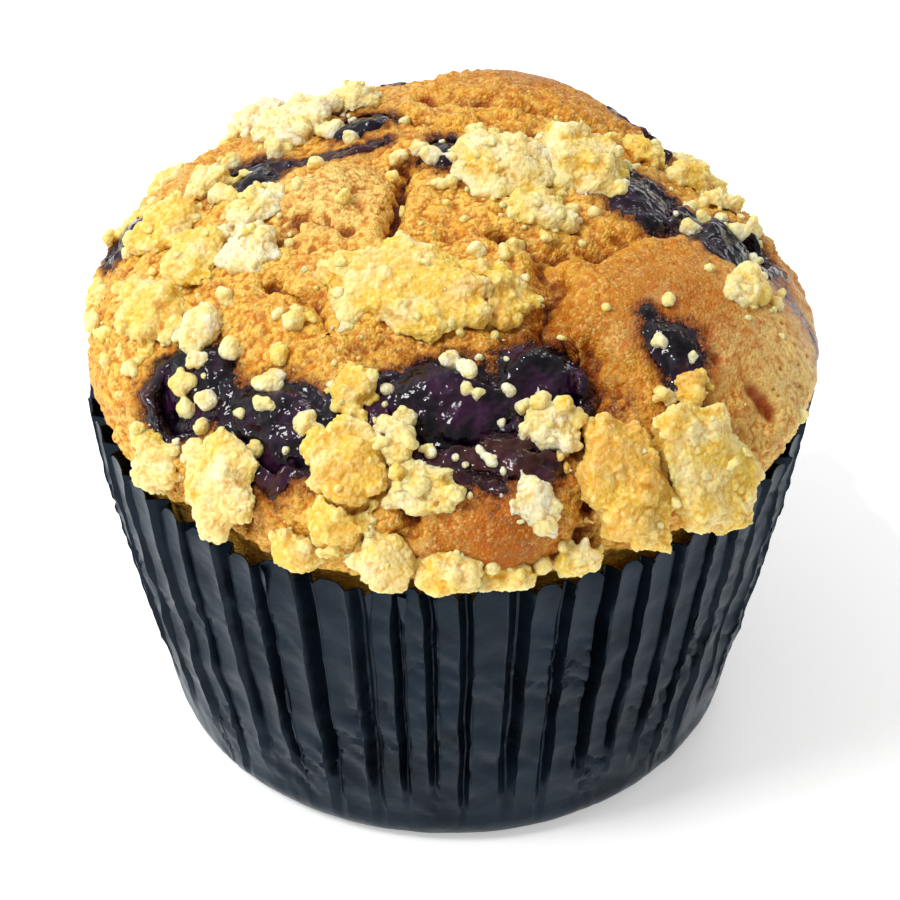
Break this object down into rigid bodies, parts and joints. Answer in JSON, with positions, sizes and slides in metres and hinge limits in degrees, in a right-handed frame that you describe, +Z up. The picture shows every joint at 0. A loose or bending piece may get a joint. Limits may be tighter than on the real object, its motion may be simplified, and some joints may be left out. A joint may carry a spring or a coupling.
{
  "type": "muffin",
  "caption": "Round domed muffin with baked-in blueberries and lumps of streusel, standing in a pleated foil baking cup.",
  "frame": {"origin": "middle of the cup's flat base, on the surface that the muffin stands on", "axes": "+Z straight up out of the cup; -Y towards the muffin's front, where the largest patch of berries shows"},
  "size_m": [0.0708, 0.0746, 0.059],
  "materials": {
    "foil": "satin",
    "crust": "matte",
    "blueberry": "gloss",
    "streusel": "matte"
  },
  "bodies": {
    "root": {"baking_cup": "foil", "blueberry_back": "blueberry", "blueberry_back_left": "blueberry", "blueberry_crown": "blueberry", "blueberry_crown_back": "blueberry", "blueberry_crown_left": "blueberry", "blueberry_far_left": "blueberry", "blueberry_far_right": "blueberry", "blueberry_front_centre": "blueberry", "blueberry_front_left": "blueberry", "blueberry_front_right": "blueberry", "blueberry_left_edge": "blueberry", "blueberry_right": "blueberry", "blueberry_upper_right": "blueberry", "muffin_body": "crust", "streusel_back": "streusel", "streusel_back_far_left": "streusel", "streusel_back_left": "streusel", "streusel_back_right": "streusel", "streusel_back_small": "streusel", "streusel_centre_right": "streusel", "streusel_centre_slab": "streusel", "streusel_crown": "streusel", "streusel_crown_low": "streusel", "streusel_crown_right": "streusel", "streusel_edge_left": "streusel", "streusel_edge_left_low": "streusel", "streusel_edge_right_a": "streusel", "streusel_edge_right_b": "streusel", "streusel_edge_right_c": "streusel", "streusel_foot_centre": "streusel", "streusel_foot_left": "streusel", "streusel_foot_middle": "streusel", "streusel_foot_right": "streusel", "streusel_front_left": "streusel", "streusel_front_left_high": "streusel", "streusel_front_left_low": "streusel", "streusel_front_left_side": "streusel", "streusel_front_pale": "streusel", "streusel_left_high": "streusel", "streusel_left_inner": "streusel", "streusel_left_low": "streusel", "streusel_left_middle": "streusel", "streusel_low_left": "streusel", "streusel_low_left_round": "streusel", "streusel_low_right": "streusel", "streusel_on_berry": "streusel", "streusel_pair_left": "streusel", "streusel_pair_right": "streusel", "streusel_pair_top": "streusel", "streusel_pale_lower": "streusel", "streusel_pale_upper": "streusel", "streusel_right_flank": "streusel", "streusel_round_left": "streusel", "streusel_top_left": "streusel", "streusel_top_left_inner": "streusel", "streusel_top_left_outer": "streusel", "streusel_under_berry": "streusel"}
  },
  "joints": []
}
